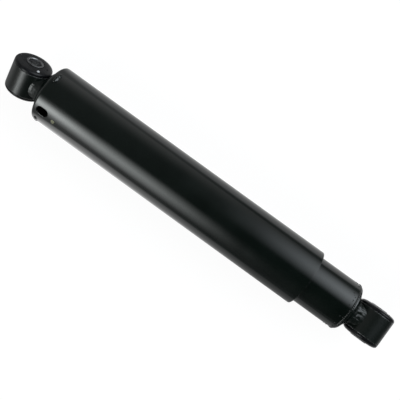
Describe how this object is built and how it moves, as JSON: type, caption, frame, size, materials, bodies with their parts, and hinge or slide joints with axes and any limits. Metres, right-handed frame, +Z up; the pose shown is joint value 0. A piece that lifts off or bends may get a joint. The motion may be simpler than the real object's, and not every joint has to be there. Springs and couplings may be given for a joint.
{
  "type": "shock absorber",
  "caption": "Hydraulic shock absorber: a black dust tube telescopes over a welded reserve tube with a valved piston inside, and a rubber-bushed mounting eye at each end.",
  "frame": {"origin": "middle of the lower eye's bore", "axes": "+X along the strut from the lower eye to the upper eye, +Y along the lower eye's bore, +Z up with the strut lying level"},
  "size_m": [0.488, 0.0657, 0.0652],
  "materials": {
    "black_paint": "semi-gloss black enamel over bare steel",
    "bush_rubber": "moulded black rubber with a slight sheen",
    "sleeve_steel": "dull phosphated steel tube",
    "chrome_rod": "ground and hard chromed",
    "cylinder_steel": "cold-drawn bright steel",
    "valve_steel": "fine-ground flat steel",
    "spring_steel": "oil-tempered spring steel",
    "sintered_iron": "sintered iron with a grainy face",
    "bush_bronze": "bronze-backed dry bearing",
    "seal_rubber": "moulded nitrile rubber",
    "band_ptfe": "bronze-filled low-friction plastic",
    "cushion_urethane": "cast amber polyurethane"
  },
  "bodies": {
    "damper_body": {"lower_eye_ring": "black_paint", "lower_bush_rubber": "bush_rubber", "lower_eye_weld": "black_paint", "base_cap": "black_paint", "base_cap_weld": "black_paint", "reserve_tube": "black_paint", "working_cylinder": "cylinder_steel", "base_valve_body": "sintered_iron", "base_valve_bolt": "valve_steel", "base_valve_nut": "valve_steel", "compression_shims": "valve_steel", "base_check_spring": "spring_steel", "rod_guide": "sintered_iron", "rod_guide_bush": "bush_bronze", "guide_seal_ring": "seal_rubber", "rod_seal": "seal_rubber", "seal_garter_spring": "spring_steel", "seal_cover": "cylinder_steel"},
    "lower_sleeve": {"lower_bush_sleeve": "sleeve_steel"},
    "base_check": {"base_check_plate": "valve_steel"},
    "piston_band": {"piston_band": "band_ptfe"},
    "rod_assembly": {"piston_rod": "chrome_rod", "piston": "sintered_iron", "piston_nut": "valve_steel", "valve_guide_sleeve": "valve_steel", "rebound_spring": "spring_steel", "check_spacer": "valve_steel", "piston_check_spring": "spring_steel", "check_support_washer": "valve_steel", "rebound_stop_collar": "cylinder_steel", "rebound_cushion": "cushion_urethane", "dust_cap": "black_paint", "dust_tube": "black_paint", "dust_tube_tack_welds": "black_paint", "upper_eye_ring": "black_paint", "upper_eye_weld": "black_paint", "upper_bush_rubber": "bush_rubber"},
    "piston_check": {"piston_check_plate": "valve_steel"},
    "rebound_valve": {"rebound_shims": "valve_steel", "rebound_valve_plate": "valve_steel"},
    "upper_sleeve": {"upper_bush_sleeve": "sleeve_steel"}
  },
  "joints": [
    {"name": "rod_slide", "type": "slide", "parent": "damper_body", "child": "piston_band", "axis": [1, 0, 0], "range_m": [-0.008, 0.224]},
    {"name": "rod_turn", "type": "hinge", "parent": "piston_band", "child": "rod_assembly", "pos_m": [0.1, 0, 0], "axis": [1, 0, 0], "continuous": true},
    {"name": "lower_sleeve_twist", "type": "hinge", "parent": "damper_body", "child": "lower_sleeve", "pos_m": [0, 0, 0], "axis": [0, 1, 0], "range_deg": [-15, 15], "stiffness_Nm_per_rad": 50},
    {"name": "upper_sleeve_twist", "type": "hinge", "parent": "rod_assembly", "child": "upper_sleeve", "pos_m": [0.447, 0, 0], "axis": [0, 0.8572, -0.515], "range_deg": [-15, 15], "stiffness_Nm_per_rad": 50},
    {"name": "base_check_lift", "type": "slide", "parent": "damper_body", "child": "base_check", "axis": [1, 0, 0], "range_m": [0, 0.0015], "stiffness_N_per_m": 2000, "deforming": ["base_check_spring"]},
    {"name": "piston_check_lift", "type": "slide", "parent": "rod_assembly", "child": "piston_check", "axis": [1, 0, 0], "range_m": [0, 0.001], "stiffness_N_per_m": 2500, "deforming": ["piston_check_spring"]},
    {"name": "rebound_valve_lift", "type": "slide", "parent": "rod_assembly", "child": "rebound_valve", "axis": [-1, 0, 0], "range_m": [0, 0.001], "stiffness_N_per_m": 40000, "deforming": ["rebound_spring"]}
  ]
}
